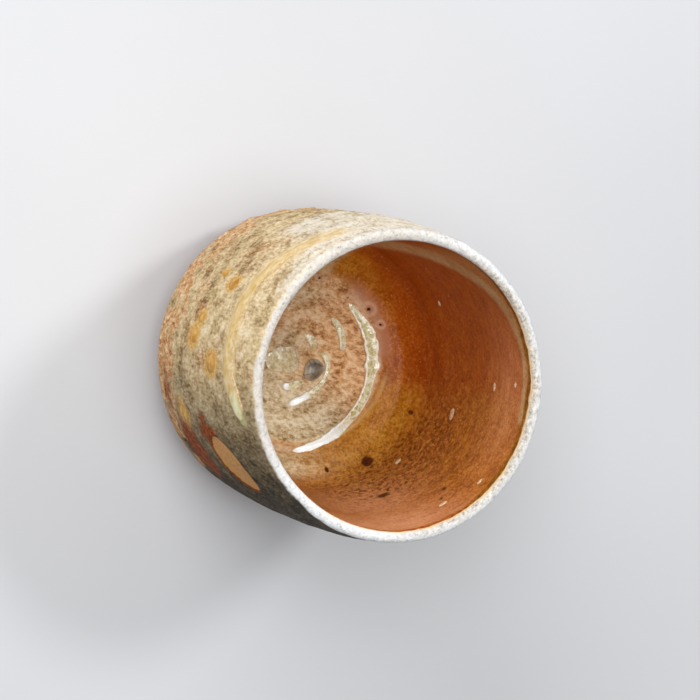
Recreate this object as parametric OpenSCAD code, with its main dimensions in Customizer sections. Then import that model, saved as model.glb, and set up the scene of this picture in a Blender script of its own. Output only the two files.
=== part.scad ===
// Yunomi tea cup, thrown by hand and fired with wood ash.
// One thick clay body on a turned foot ring carries the coats that the kiln left on it:
// a liner glaze inside, an ash coat outside, a crust over the lip, and glass in the well.

/* [Body] */
// Height of the clay from the foot to the top of the lip
body_h = 84.4; // [74:0.2:98]
// Width across the clay at the lip
mouth_d = 79.2; // [72:0.2:92]
// Width across the clay at the belly
belly_d = 82; // [79:0.2:100]
// Height of the belly, the widest place of the wall
belly_h = 54; // [44:1:62]
// Width across the clay where the wall turns in to the hip
hip_d = 78.8; // [70:0.2:79]
// Height at which the wall turns in to the hip
hip_h = 16; // [12:0.5:20]
// Thickness of the clay at the lip
lip_t = 2; // [1.6:0.1:3.6]
// Thickness of the clay at the bottom of the inside wall
wall_t = 5.4; // [4:0.1:7]
// How far the lip is drawn out of round
lip_oval = 0.4; // [0:0.1:1]
// How far the lip rises and falls round the mouth
lip_wave = 0.5; // [0:0.1:1]

/* [Foot] */
// Width across the foot ring at the ground
foot_d = 52; // [44:0.5:60]
// Height of the foot ring
foot_h = 6.2; // [5:0.1:8]
// Width of the foot ring's flat face and its two chamfers
foot_ring_w = 6; // [4:0.2:8]
// Depth of the turned recess inside the foot ring
foot_recess = 5; // [3:0.1:6]
// Chamfer at the edges of the foot ring
foot_chamfer = 0.7; // [0.3:0.1:1]

/* [Well] */
// Thickness of the clay floor in the middle of the well
floor_t = 10.4; // [8:0.2:12]
// Height above the floor at which the inside wall turns in to the well
well_turn_h = 15; // [11:0.5:18]
// Width across the flat button in the middle of the well
button_d = 7; // [5:0.5:9]
// Width from one turn of the throwing spiral to the next
spiral_w = 14.5; // [12:0.5:18]
// Depth of the throwing spiral below and above the mean floor
spiral_depth = 0.45; // [0.1:0.05:0.7]

/* [Coats] */
// Thickness of the liner glaze
liner_t = 0.6; // [0.4:0.05:0.9]
// Thickness of the ash coat on the wall
ash_t = 0.7; // [0.5:0.05:1]
// Thickness of the ash coat at its lower edge
ash_edge_t = 0.4; // [0.3:0.05:0.6]
// Thickness of the crust on top of the lip
crust_t = 0.6; // [0.5:0.05:1]
// How far the crust reaches down the outside of the lip
crust_out_w = 2.6; // [1.6:0.2:6]

/* [Wad scar] */
// Length of the bare, oval patch that a wad left on the side
scar_l = 20; // [14:0.5:24]
// Width of the patch
scar_w = 13.4; // [9:0.2:15]
// Height of the middle of the patch
scar_h = 56.5; // [46:0.5:62]
// Slant of the patch against the rim
scar_slant = 53; // [0:1:60]

/* [Ash runs] */
// Width of the long run of molten ash
run_w = 6.6; // [4:0.2:8]
// Height to which the runs stand proud of the ash coat
run_t = 0.6; // [0.3:0.05:0.9]
// Width of the drop at the end of the long run
run_drop_w = 5.6; // [3:0.2:7]
// Length of the largest single drop of ash, up the wall
drop_l = 7; // [4:0.2:9]
// Width of the largest single drop, round the wall
drop_w = 4.8; // [3:0.2:5]

/* [Glass] */
// Width of the widest strip of glass in the well
glass_w = 4.2; // [2.6:0.1:4.8]
// Thickness of the glass in the middle of a strip
glass_t = 0.7; // [0.4:0.05:1.2]
// Length of the grey bead in the well
bead_l = 6.2; // [4:0.1:6.4]
// Width of the grey bead
bead_w = 5.8; // [3.6:0.1:6]
// Height of the grey bead
bead_t = 1.6; // [1:0.1:2.4]
// Distance of the grey bead from the middle of the well
bead_offset = 5.4; // [4:0.2:6]
// Length of the pool of glass beside the grey bead
pool_l = 9.6; // [6:0.2:10]
// Width of that pool
pool_w = 8; // [5:0.2:9]
// Distance of that pool from the middle of the well
pool_offset = 5.2; // [5:0.2:8]

/* [Feldspar] */
// Width of the largest feldspar chip
chip_d = 2.8; // [1.6:0.1:4]
// Height to which the chips stand proud of the liner glaze
chip_proud = 0.3; // [0.1:0.05:0.5]

/* [Fits] */
// Room left under the glass, the runs and the chips
seat_gap = 0.1; // [0.05:0.01:0.2]

/* [Hidden] */

mouth_r = mouth_d / 2;
belly_r = belly_d / 2;
hip_r = hip_d / 2;
foot_r = foot_d / 2;
recess_r = foot_r - foot_ring_w;
button_r = button_d / 2;
// Height of the clay floor in the middle of the well
floor_z = foot_recess + floor_t;
// Height at which the rounding of the lip starts
lip_z = body_h - lip_t / 2;
// Height of the crust's edge on the outside
crust_z = lip_z - crust_out_w;
// Height at which the inside wall turns in to the well
well_z = floor_z + well_turn_h;

// Facets round the cup, and steps along each stretch of its section
segments = 48;
hip_steps = 6;
wall_steps = 6;
lip_steps = 5;
inside_steps = 6;
well_steps = 16;
// Steps of a run or a strip along its way, and across half of it
run_steps = 14;
half_steps = 2;
// Corners of a dome's outline, and its rings
dome_corners = 14;
dome_rings = 2;

// Lean of the wall where the hip meets it, as width per height
hip_lean = 2 * (belly_r - hip_r) / (belly_h - hip_h);
// Pull of the curves of the hip and of the well towards their corners
hip_pull_share = 0.62;
hip_reach_share = 0.9;
well_pull_share = 0.75;
well_reach_share = 0.62;
// Azimuths of the long way across the oval mouth and of the highest place of the lip
oval_azimuth = 60;
wave_azimuth = 20;

// Radius of the clay outside at height z, above the hip
function wall_r(z) =
    z > belly_h
    ? belly_r - (belly_r - mouth_r) * pow((z - belly_h) / (lip_z - belly_h), 2)
    : belly_r - (belly_r - hip_r) * pow((belly_h - z) / (belly_h - hip_h), 2);

// Radius of the clay inside at height z, above the well
function inside_r(z) =
    wall_r(z) - lip_t - (wall_t - lip_t) * (lip_z - z) / (lip_z - well_z);

// Point at share t of the curve with four control points
function bezier(p, t) =
    pow(1 - t, 3) * p[0] + 3 * pow(1 - t, 2) * t * p[1]
    + 3 * (1 - t) * t * t * p[2] + pow(t, 3) * p[3];

// Section of the hip, from inside the foot ring out to the wall
hip_curve = [
    [foot_r - foot_ring_w / 2, foot_h],
    [foot_r + hip_reach_share * (hip_r - foot_r), foot_h],
    [hip_r - hip_lean * hip_pull_share * (hip_h - foot_h),
     hip_h - hip_pull_share * (hip_h - foot_h)],
    [hip_r, hip_h]
];

// Section of the well, from the inside wall in to the button
well_curve = [
    [inside_r(well_z), well_z],
    [inside_r(well_z) - hip_lean * well_turn_h / 2, well_z - well_pull_share * well_turn_h],
    [button_r + well_reach_share * (inside_r(well_z) - button_r), floor_z],
    [button_r, floor_z]
];

// The clay's skin as [radius, height, share of the throwing spiral], from the foot ring
// up the outside, over the lip and down the inside to the middle of the well
hip_skin = [for (i = [0:hip_steps - 1]) concat(bezier(hip_curve, i / hip_steps), 0)];
wall_skin = [
    for (i = [0:wall_steps - 1])
        let (z = hip_h + (crust_z - hip_h) * i / wall_steps)
            [wall_r(z), z, 0]
];
lip_skin = [
    for (i = [0:lip_steps - 1])
        let (turn = 180 * i / lip_steps)
            [mouth_r - lip_t / 2 * (1 - cos(turn)), lip_z + lip_t / 2 * sin(turn), 0]
];
inside_skin = [
    for (i = [0:inside_steps - 1])
        let (z = lip_z + (well_z - lip_z) * i / inside_steps)
            [inside_r(z), z, 0]
];
well_skin = [
    for (i = [0:well_steps])
        concat(bezier(well_curve, i / well_steps), sin(180 * i / well_steps))
];
skin = concat(
    hip_skin,
    wall_skin,
    [[wall_r(crust_z), crust_z, 0]],
    lip_skin,
    inside_skin,
    well_skin,
    [[0, floor_z, 0]]
);

// Places along the skin where one coat ends and the next begins
ash_start = 3;
crust_start = hip_steps + wall_steps;
liner_start = crust_start + lip_steps;
well_start = liner_start + 1 + inside_steps;
skin_end = len(skin) - 1;

// Thickness of the coats at place i of the skin
function coat_t(i) =
    i == ash_start ? ash_edge_t
    : i <= crust_start ? ash_t
    : i < liner_start ? crust_t
    : liner_t;

// Direction out of the clay at place i of the skin
function skin_normal(i) =
    let (a = skin[max(i - 1, 0)], b = skin[min(i + 1, skin_end)])
        i == skin_end
        ? [0, 1]
        : [b[1] - a[1], a[0] - b[0]] / norm([b[0] - a[0], b[1] - a[1]]);

// Place i of the skin, raised out of the clay by t
function raised(i, t) =
    let (n = skin_normal(i))
        [skin[i][0] + t * n[0], skin[i][1] + t * n[1], skin[i][2]];

// Section of a coat from place i to place j of the skin: the clay's side, then the open side
function coat_section(i, j) = concat(
    [for (k = [i:j]) skin[k]],
    [for (k = [j:-1:i]) raised(k, coat_t(k))]
);

// The throwing spiral: grooves that wind out as they turn, and the radius of one at azimuth 0
spiral_arms = 2;
spiral_start_share = 0.78;
function groove_r(turn, azimuth) = spiral_w * (spiral_start_share + turn / spiral_arms - azimuth / 360);
// Depth of the throwing spiral at a place of the well
function spiral(r, azimuth) =
    -spiral_depth * cos(360 * spiral_arms * (r - groove_r(0, azimuth)) / spiral_w);

// A place of the section, turned to an azimuth of the uneven, hand-thrown cup
function place(p, azimuth) =
    let (
        share = p[1] / body_h,
        r = p[0] * (1 + share * lip_oval / mouth_r * cos(2 * (azimuth - oval_azimuth))),
        z = p[1] + share * lip_wave * cos(2 * (azimuth - wave_azimuth))
            + p[2] * spiral(p[0], azimuth)
    )
        [r * cos(azimuth), r * sin(azimuth), z];

// The open side of the liner glaze in the well, from the middle out, turned to an azimuth
well_top = [for (k = [skin_end:-1:well_start]) raised(k, coat_t(k))];
function well_heights(azimuth) = [
    for (p = well_top) let (q = place(p, azimuth)) [norm([q[0], q[1]]), q[2]]
];

// The open side of the ash coat and the clay of the inside wall, as radius by height
coat_radii = [for (k = [ash_start:crust_start]) let (p = raised(k, coat_t(k))) [p[1], p[0]]];
inside_radii = [for (k = [well_start + well_steps / 2:-1:liner_start]) [skin[k][1], skin[k][0]]];

// A place on the well's glaze by its x and y, raised by lift
on_floor = function(c, lift)
    [c[0], c[1], lookup(norm(c), well_heights(atan2(c[1], c[0]))) + lift];

// A place on the ash coat by its way round the belly and its height, raised by lift
on_wall = function(c, lift)
    place([lookup(c[1], coat_radii) + lift, c[1], 0], c[0] / belly_r * 180 / PI);

// Way round the belly and height of a place given as azimuth and share of the height
function wall_chart(p) = [p[0] * belly_r * PI / 180, p[1] * body_h];

// Azimuth and share of the height of the places along the long run
run_place_shares = [
    [-136, 0.87], [-122, 0.829], [-107, 0.8], [-95, 0.809], [-84, 0.82], [-75.5, 0.84], [-69, 0.885], [-62, 0.912]
];
// Azimuth, share of the height and share of the largest size of each drop of ash
drop_place_shares = [
    [-109, 0.65, 0.72], [-94, 0.532, 0.66], [-87, 0.506, 0.95], [-79.5, 0.69, 1], [-56, 0.386, 0.95],
    [-112, 0.539, 0.45]
];
// Azimuth, share of the height and share of the full width of each chip
chip_place_shares = [
    [84, 0.516, 1], [55, 0.4, 0.7], [45, 0.85, 0.75], [100, 0.74, 0.6], [61, 0.908, 0.6], [103, 0.884, 0.45],
    [133, 0.45, 0.5]
];
chip_sides = 5;
chip_top_share = 0.7;
scar_azimuth = -40;

// Smooth way through the given places, in steps
function smooth_way(p, steps) = [
    for (i = [0:steps])
        let (
            s = i / steps * (len(p) - 1),
            k = min(floor(s), len(p) - 2),
            t = s - k,
            a = p[max(k - 1, 0)],
            b = p[k],
            c = p[k + 1],
            d = p[min(k + 2, len(p) - 1)]
        )
            b + t / 2 * (c - a + t * (2 * a - 5 * b + 4 * c - d + t * (3 * (b - c) + d - a)))
];
long_run_path = smooth_way([for (p = run_place_shares) wall_chart(p)], 2 * run_steps);

// Azimuth, share of the spiral's width and share of the glass's width of the places along
// each strip of glass
glass_place_shares = [
    [
        [10, 1.765, 0.2], [23, 1.69, 0.55], [35, 1.634, 0.7], [48, 1.566, 0.7], [59, 1.531, 0.6],
        [69, 1.51, 0.62], [79, 1.483, 0.8], [90, 1.448, 0.92], [105, 1.421, 1], [120, 1.407, 1],
        [131, 1.372, 0.8], [141, 1.345, 0.5], [152, 1.359, 0.25]
    ],
    [[111, 0.841, 0.25], [121, 0.883, 0.5], [134, 0.921, 0.5], [148, 0.938, 0.4], [155, 0.938, 0.2]],
    [
        [2, 0.924, 0.3], [12, 0.841, 0.5], [28, 0.755, 0.45], [50, 0.7, 0.38], [63, 0.67, 0.3],
        [81, 0.624, 0.33], [97, 0.552, 0.4], [114, 0.434, 0.3]
    ],
    [[-17, 0.641, 0.35], [-5, 0.61, 0.55], [11, 0.51, 0.5], [25, 0.462, 0.2]],
    [[183, 0.414, 0.25], [165, 0.386, 0.6], [146, 0.345, 0.6], [131, 0.276, 0.25]]
];
// Way along a strip of glass as x, y and width
function glass_way(i) = smooth_way(
    [for (p = glass_place_shares[i]) concat(in_well(p[1] * spiral_w, p[0]), p[2] * glass_w)],
    run_steps
);
bead_azimuth = 62;
pool_azimuth = -68;
pool_turn = 105;
// Place in the well at a distance and an azimuth from its middle
function in_well(offset, azimuth) = offset * [cos(azimuth), sin(azimuth)];

// Share of the full width at share t of a run's way, which tapers in and ends in a drop
function run_share(t) =
    t < 0.8
    ? min(1, 0.25 + 4 * t)
    : 1 - 0.6 * (t - 0.8) / 0.2 + (run_drop_w / run_w - 0.7) * sin(180 * (t - 0.8) / 0.2);
long_run_widths = [for (i = [0:2 * run_steps]) run_w * run_share(i / (2 * run_steps))];

// A low ridge along a path on a surface, with its width at each place of the path, t high
module ridge(on, path, widths, t) {
    last = len(path) - 1;
    n = 4 * half_steps;
    points = [
        for (i = [0:last])
            let (
                way = path[min(i + 1, last)] - path[max(i - 1, 0)],
                across = [-way[1], way[0]] / norm(way),
                width = widths[i],
                lift = t * min(1, width / max(widths) + 0.2)
            )
                for (j = [0:n - 1])
                    let (
                        v = (j <= n / 2 ? j : n - j) / half_steps - 1,
                        h = j <= n / 2 ? 0 : lift * (1 - v * v)
                    )
                        on(path[i] + across * v * width / 2, seat_gap + h)
    ];
    caps = [
        for (j = [1:n - 2])
            each [[0, j, j + 1], [last * n, last * n + j + 1, last * n + j]]
    ];
    polyhedron(points, concat(ring_faces(last + 1, n, false), caps));
}

// A low dome on a surface: an oval outline, t high in the middle
module dome(on, centre, axes, turn, t) {
    function outline(share, azimuth) =
        let (x = axes[0] * share * cos(azimuth), y = axes[1] * share * sin(azimuth))
            centre + [x * cos(turn) - y * sin(turn), x * sin(turn) + y * cos(turn)];
    function ring(share, lift) = [
        for (k = [0:dome_corners - 1]) on(outline(share, 360 * k / dome_corners), lift)
    ];
    under = [for (i = [1:dome_rings]) each ring(i / (dome_rings + 1), seat_gap)];
    over = [
        for (i = [dome_rings:-1:1])
            let (share = i / (dome_rings + 1))
                each ring(share, seat_gap + t * sqrt(1 - share * share))
    ];
    rings = 2 * dome_rings + 1;
    points = concat(under, ring(1, seat_gap + t / 8), over, [on(centre, seat_gap), on(centre, seat_gap + t)]);
    low = len(points) - 2;
    caps = [
        for (k = [0:dome_corners - 1])
            let (m = (k + 1) % dome_corners, first = (rings - 1) * dome_corners)
                each [[low, k, m], [low + 1, first + m, first + k]]
    ];
    polyhedron(points, concat(ring_faces(rings, dome_corners, false), caps));
}

// Faces that join rings of n points each; the rings close on themselves if closed is true
function ring_faces(rings, n, closed) = [
    for (i = [0:rings - (closed ? 1 : 2)], j = [0:n - 1])
        let (a = i * n + j, b = i * n + (j + 1) % n,
             c = (i + 1) % rings * n + (j + 1) % n, d = (i + 1) % rings * n + j)
            each [[a, d, c], [a, c, b]]
];

// Solid between a closed section and its turn round the cup
module turned_band(section) {
    n = len(section);
    points = [for (k = [0:segments - 1], p = section) place(p, 360 * k / segments)];
    polyhedron(points, ring_faces(segments, n, true));
}

// Solid whose section starts and ends on the axis
module turned_core(section) {
    n = len(section) - 2;
    inner = [for (i = [1:n]) section[i]];
    rim = [for (k = [0:segments - 1], p = inner) place(p, 360 * k / segments)];
    first = len(rim);
    last = first + 1;
    sides = [
        for (k = [0:segments - 1], j = [0:n - 2])
            let (m = (k + 1) % segments)
                each [[k * n + j, m * n + j + 1, m * n + j], [k * n + j, k * n + j + 1, m * n + j + 1]]
    ];
    caps = [
        for (k = [0:segments - 1])
            let (m = (k + 1) % segments)
                each [[first, k * n, m * n], [last, m * n + n - 1, k * n + n - 1]]
    ];
    polyhedron(concat(rim, [place(section[0], 0), place(section[n + 1], 0)]), concat(sides, caps));
}

// Half section of the foot ring, with its chamfers
module foot_section() {
    top_z = foot_h + floor_t / 8;
    polygon([
        [recess_r, foot_chamfer],
        [recess_r + foot_chamfer, 0],
        [foot_r - foot_chamfer, 0],
        [foot_r, foot_chamfer],
        [foot_r, top_z],
        [recess_r, top_z]
    ]);
}

module clay_body() {
    color("sienna")
        union() {
            turned_core(concat([[0, foot_recess, 0], [recess_r + foot_ring_w / 2, foot_recess, 0]], skin));
            rotate_extrude($fn = 96)
                foot_section();
        }
}

module liner_glaze() {
    color("chocolate")
        difference() {
            turned_core([
                for (k = [skin_end:-1:liner_start]) skin[k],
                for (k = [liner_start:skin_end]) raised(k, coat_t(k))
            ]);
            chips(liner_t);
        }
}

// The bare patch that a wad left: an oval, cut straight through the coat
module wad_scar() {
    rotate([0, 0, scar_azimuth])
        translate([belly_r, 0, scar_h])
            rotate([90, 0, 90])
                rotate([0, 0, scar_slant])
                    linear_extrude(height = 8 * ash_t, center = true)
                        scale([1, scar_w / scar_l])
                            circle(scar_l / 2, $fn = 60);
}

module ash_coat() {
    color("darkkhaki")
        difference() {
            turned_band(coat_section(ash_start, crust_start));
            wad_scar();
        }
}

module lip_crust() {
    color("ivory")
        turned_band(coat_section(crust_start, liner_start));
}

module well_glass() {
    color("palegreen") {
        for (i = [0:len(glass_place_shares) - 1])
            ridge(
                on_floor,
                [for (p = glass_way(i)) [p[0], p[1]]],
                [for (p = glass_way(i)) p[2]],
                glass_t
            );
        dome(on_floor, in_well(pool_offset, pool_azimuth), [pool_l / 2, pool_w / 2], pool_turn, glass_t);
    }
}

module centre_bead() {
    color("slategray")
        dome(on_floor, in_well(bead_offset, bead_azimuth), [bead_l / 2, bead_w / 2], bead_azimuth + 90, bead_t);
}

module ash_runs() {
    color("goldenrod") {
        ridge(on_wall, long_run_path, long_run_widths, run_t);
        for (drop = drop_place_shares)
            dome(on_wall, wall_chart(drop), drop[2] * [drop_w / 2, drop_l / 2], 0, run_t);
    }
}

// The feldspar chips: each reaches from the clay through the liner glaze and stands proud of it.
// As a cutter they reach down into the clay by depth.
module chips(depth) {
    for (chip = chip_place_shares) {
        z = chip[1] * body_h;
        d = chip_d * chip[2];
        lean = atan((lookup(z + chip_d, inside_radii) - lookup(z - chip_d, inside_radii)) / (2 * chip_d));
        r = lookup(z, inside_radii) * cos(180 / segments) - seat_gap / cos(lean);
        translate(place([r, z, 0], chip[0]))
            rotate([0, lean - 90, chip[0]]) {
                cylinder(h = liner_t + chip_proud, d1 = d, d2 = d * chip_top_share, $fn = chip_sides);
                if (depth > 0)
                    translate([0, 0, -depth])
                        cylinder(h = depth, d = d, $fn = chip_sides);
            }
    }
}

module feldspar_chips() {
    color("white")
        chips(0);
}

clay_body();
liner_glaze();
ash_coat();
lip_crust();
well_glass();
centre_bead();
ash_runs();
feldspar_chips();
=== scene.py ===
"""Looks of a yunomi tea cup: wood-ash coat, crusty white lip, glossy liner with glass in the well."""

import math

import bpy
import numpy as np
from mathutils import Matrix, Vector


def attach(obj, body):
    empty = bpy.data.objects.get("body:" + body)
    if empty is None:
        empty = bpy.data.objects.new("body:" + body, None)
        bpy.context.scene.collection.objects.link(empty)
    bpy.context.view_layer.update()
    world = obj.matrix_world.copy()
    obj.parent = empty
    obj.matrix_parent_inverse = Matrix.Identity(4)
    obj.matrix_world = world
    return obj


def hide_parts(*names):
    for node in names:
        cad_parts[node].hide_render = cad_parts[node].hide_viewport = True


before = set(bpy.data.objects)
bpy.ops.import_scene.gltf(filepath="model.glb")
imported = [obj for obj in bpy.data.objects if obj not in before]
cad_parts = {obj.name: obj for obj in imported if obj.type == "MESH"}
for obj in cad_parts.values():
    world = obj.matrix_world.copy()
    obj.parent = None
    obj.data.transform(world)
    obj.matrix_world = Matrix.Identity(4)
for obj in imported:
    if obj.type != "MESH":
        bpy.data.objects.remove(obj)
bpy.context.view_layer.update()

MM = 0.001
TURN = 2 * math.pi

# The cup's measures in millimetres, the same as the solids have
BODY_H, MOUTH_R, BELLY_R, BELLY_H, HIP_R, HIP_H = 84.4, 39.6, 41.0, 54.0, 39.4, 16.0
LIP_T, WALL_T, LIP_OVAL, LIP_WAVE = 2.0, 5.4, 0.4, 0.5
FOOT_R, FOOT_H, FOOT_RING_W, FOOT_RECESS, FOOT_CHAMFER = 26.0, 6.2, 6.0, 5.0, 0.7
FLOOR_Z, WELL_TURN_H, BUTTON_R = 15.4, 15.0, 3.5
SPIRAL_W, SPIRAL_DEPTH, SPIRAL_ARMS, SPIRAL_START = 14.5, 0.45, 2, 0.78
LINER_T, ASH_T, ASH_EDGE_T, CRUST_T, CRUST_OUT_W = 0.6, 0.7, 0.4, 0.6, 2.6
OVAL_AZIMUTH, WAVE_AZIMUTH = 60, 20

# Share of the lip's rounding that the crust covers; the liner has the rest
LIP_SHARE = 0.8

# Heights and places in millimetres of what lies on the coats, and where the ash coat starts to thicken
DOME_SEAT, RUN_SINK, RUN_SWELL, THIN_ASH_H = 0.03, 0.1, 0.12, 8
GLASS_T, GLASS_PUFF, RUN_T, RUN_HALF_W, DROP_T, CHIP_T = 0.7, 0.22, 0.5, 3.3, 0.36, 0.28
POOL_AT, BEAD_AT = (1.95, -4.82), (2.54, 4.77)

# Columns of the grids, and how near the axis their innermost ring comes
OUTSIDE_COLS, INSIDE_COLS, CLAY_COLS = 600, 480, 360
AXIS_R = 0.25

# Lights in metres, and the camera's lens and place in millimetres with the ways of its axes
LIGHT_DISTANCE, LIGHT_AIM, SKY_LIGHT = 0.9, (0, 0, 0.04), 0.28
SENSOR_W, LENS = 36, 180
CAMERA_AT = (-5.33, -368.52, 889.78)
CAMERA_RIGHT, CAMERA_BACK = (-0.27463, 0.88093, 0.38542), (0, -0.40083, 0.91615)

# Places that follow from the measures
LIP_Z = BODY_H - LIP_T / 2
CRUST_Z = LIP_Z - CRUST_OUT_W
WELL_Z = FLOOR_Z + WELL_TURN_H
HIP_LEAN = 2 * (BELLY_R - HIP_R) / (BELLY_H - HIP_H)


# Forms of the cup

def wall_r(z):
    """Radius of the clay's outside, widest at the belly."""
    above = BELLY_R - (BELLY_R - MOUTH_R) * ((z - BELLY_H) / (LIP_Z - BELLY_H)) ** 2
    below = BELLY_R - (BELLY_R - HIP_R) * ((BELLY_H - z) / (BELLY_H - HIP_H)) ** 2
    return np.where(z > BELLY_H, above, below)


def inside_r(z):
    """Radius of the clay's inside; the wall gets thicker towards the well."""
    return wall_r(z) - LIP_T - (WALL_T - LIP_T) * (LIP_Z - z) / (LIP_Z - WELL_Z)


def bezier(points, steps, start=0.0):
    """Places along a curve with four control points, from share start to its end."""
    p = np.array(points, float)
    t = np.linspace(start, 1, steps)[:, None]
    return (1 - t) ** 3 * p[0] + 3 * (1 - t) ** 2 * t * p[1] + 3 * (1 - t) * t * t * p[2] + t ** 3 * p[3]


def hip_section(steps, start):
    pull = 0.62 * (HIP_H - FOOT_H)
    return bezier([
        [FOOT_R - FOOT_RING_W / 2, FOOT_H],
        [FOOT_R + 0.9 * (HIP_R - FOOT_R), FOOT_H],
        [HIP_R - HIP_LEAN * pull, HIP_H - pull],
        [HIP_R, HIP_H]], steps, start)


def well_section(steps):
    top = float(inside_r(WELL_Z))
    return bezier([
        [top, WELL_Z],
        [top - HIP_LEAN * WELL_TURN_H / 2, WELL_Z - 0.75 * WELL_TURN_H],
        [BUTTON_R + 0.62 * (top - BUTTON_R), FLOOR_Z],
        [BUTTON_R, FLOOR_Z]], steps)


def wall_section(low, high, steps):
    z = np.linspace(low, high, steps)
    return np.c_[wall_r(z), z]


def inside_section(high, low, steps):
    z = np.linspace(high, low, steps)
    return np.c_[inside_r(z), z]


def lip_section(steps, start=0.0, end=1.0):
    """The rounding of the lip, from its outside at share 0 to its inside at share 1."""
    turn = np.linspace(start * math.pi, end * math.pi, steps)
    return np.c_[MOUTH_R - LIP_T / 2 * (1 - np.cos(turn)), LIP_Z + LIP_T / 2 * np.sin(turn)]


def joined(*parts):
    """One section from parts that share their end places."""
    return np.concatenate([parts[0]] + [p[1:] for p in parts[1:]])


def normals(section):
    """Ways out of the clay along a section."""
    way = np.gradient(section, axis=0)
    out = np.c_[way[:, 1], -way[:, 0]]
    return out / np.linalg.norm(out, axis=1)[:, None]


def spiral(r, azimuth):
    """Height of the two-armed throwing spiral, from its grooves to its ridges."""
    groove_r = SPIRAL_W * (SPIRAL_START - azimuth / 360)
    return -SPIRAL_DEPTH * np.cos(TURN * SPIRAL_ARMS * (r - groove_r) / SPIRAL_W)


def place(r, z, azimuth, spiral_share=0.0):
    """A place of the section turned to an azimuth of the uneven cup, in millimetres."""
    share = z / BODY_H
    a = np.radians(azimuth)
    rr = r * (1 + share * LIP_OVAL / MOUTH_R * np.cos(2 * (a - math.radians(OVAL_AZIMUTH))))
    zz = z + share * LIP_WAVE * np.cos(2 * (a - math.radians(WAVE_AZIMUTH)))
    zz = zz + spiral_share * spiral(r, azimuth)
    return np.stack([rr * np.cos(a), rr * np.sin(a), zz + 0 * a], axis=-1)


# Noise for relief and for masks

def noise(p, size, seed=1, octaves=3, stretch=(1, 1, 1)):
    """Smooth noise from -1 to 1 at places p, size millimetres from one lump to the next."""
    rng = np.random.default_rng(seed)
    perm = rng.permutation(256)
    value = rng.random(256)
    total = 0
    weight = 0
    for octave in range(octaves):
        q = p * np.array(stretch) * (2 ** octave / size) + 17.3 * octave + 500
        cell = np.floor(q).astype(int)
        f = q - cell
        f = f * f * (3 - 2 * f)
        corner = 0
        for dx in (0, 1):
            for dy in (0, 1):
                for dz in (0, 1):
                    h = perm[(perm[(perm[(cell[..., 0] + dx) & 255] + cell[..., 1] + dy) & 255]
                              + cell[..., 2] + dz) & 255]
                    w = np.where(dx, f[..., 0], 1 - f[..., 0]) * np.where(dy, f[..., 1], 1 - f[..., 1])
                    corner = corner + value[h] * w * np.where(dz, f[..., 2], 1 - f[..., 2])
        total = total + (2 * corner - 1) * 0.5 ** octave
        weight += 0.5 ** octave
    return total / weight * 1.5


def smooth(low, high, x):
    """0 where x is at low or beyond, 1 at high or beyond, smooth between; low may be the larger one."""
    t = np.clip((x - low) / (high - low), 0, 1)
    return t * t * (3 - 2 * t)


def bell(x, middle, half):
    """1 at the middle, falling to 0 on both sides."""
    return np.exp(-((x - middle) / half) ** 2)


def window(x, none_low, full_low, full_high, none_high):
    """1 between two places, falling to 0 at two outer ones."""
    return smooth(none_low, full_low, x) * smooth(none_high, full_high, x)


def rotated(x, y, degrees):
    """x and y along axes that are turned by degrees."""
    c, s = math.cos(math.radians(degrees)), math.sin(math.radians(degrees))
    return x * c + y * s, y * c - x * s


def way_to(azimuth, z, at_azimuth, at_z, radius):
    """Millimetres round the wall and up it from a named place."""
    d = (azimuth - at_azimuth + 180) % 360 - 180
    return d * radius * math.pi / 180, z - at_z


def spot(azimuth, z, at, radius=BELLY_R, slant=0.0):
    """1 in the middle of a soft patch, falling to 0; at is azimuth, height, half width and half height."""
    along, across = rotated(*way_to(azimuth, z, at[0], at[1], radius), slant)
    return np.exp(-(along / at[2]) ** 2 - (across / at[3]) ** 2)


def spots(azimuth, z, places, radius=BELLY_R):
    """One layer for each patch of a list; a patch ends with its strength."""
    return np.array([s[4] * spot(azimuth, z, s, radius) for s in places])


def sector(azimuth, middle, none, full, wander=0.0):
    """Share of one side of the cup: 1 within full degrees of the side's middle, 0 beyond none degrees."""
    return smooth(none, full, np.abs((azimuth - middle + 180) % 360 - 180) + wander)


def line_gap(azimuth, z, way, radius=BELLY_R):
    """Distance in millimetres to a way through places of azimuth and height, and the share along it."""
    best = np.full(np.shape(azimuth), 1e9)
    along = np.zeros(np.shape(azimuth))
    for k in range(len(way) - 1):
        x, y = way_to(azimuth, z, way[k][0], way[k][1], radius)
        ex, ey = (way[k + 1][0] - way[k][0]) * radius * math.pi / 180, way[k + 1][1] - way[k][1]
        t = np.clip((x * ex + y * ey) / (ex * ex + ey * ey), 0, 1)
        gap = np.hypot(x - t * ex, y - t * ey)
        along = np.where(gap < best, (k + t) / (len(way) - 1), along)
        best = np.minimum(best, gap)
    return best, along


# What the kiln left, by azimuth in degrees and height in millimetres

LONG_RUN = [(-155, 77.0), (-145, 75.5), (-136, 73.4), (-122, 70.0), (-107, 67.5), (-95, 68.3), (-84, 69.2),
            (-75.5, 70.9), (-69, 74.7), (-62, 77.0)]
SCAR_AZIMUTH, SCAR_H, SCAR_L, SCAR_W, SCAR_SLANT, SCAR_FILM = -40, 56.5, 20.0, 13.4, 53, 0.12

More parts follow.
